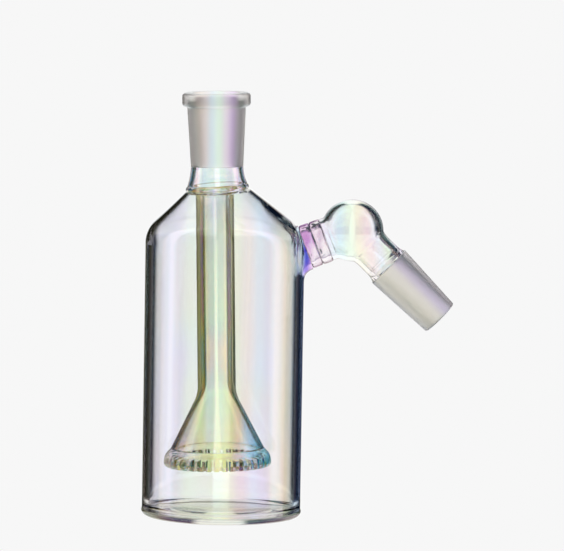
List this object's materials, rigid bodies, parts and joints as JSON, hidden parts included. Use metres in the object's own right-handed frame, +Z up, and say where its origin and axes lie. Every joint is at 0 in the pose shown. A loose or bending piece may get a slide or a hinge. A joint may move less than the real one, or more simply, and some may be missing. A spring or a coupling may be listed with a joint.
{
  "type": "gas washing bottle",
  "caption": "Glass gas washing bottle with a ground socket, a downstem to a slotted diffuser, and a side arm with a splash bulb and a slanting ground cone.",
  "frame": {"origin": "centre of the flat underside of the base disc", "axes": "+Z up along the chamber's axis, +X from the chamber towards the side arm, +Y to the back as seen with the side arm on the right"},
  "size_m": [0.0969, 0.0504, 0.1332],
  "materials": {
    "clear_glass": "clear borosilicate glass with a thin iridescent coating",
    "tinted_glass": "clear glass fumed yellow green",
    "ground_glass": "ground matt glass with a faint iridescent coating"
  },
  "bodies": {
    "root": {"base_disc": "clear_glass", "chamber": "clear_glass", "neck_collar": "clear_glass", "neck_tube": "clear_glass", "ground_socket": "ground_glass", "downstem_with_bell": "tinted_glass", "diffuser_crown": "tinted_glass", "diffuser_plate": "tinted_glass", "port_seal_ring": "clear_glass", "bulb_seal_ring": "clear_glass", "splash_bulb": "clear_glass", "cone_seal_ring": "clear_glass", "ground_cone": "ground_glass"}
  },
  "joints": []
}
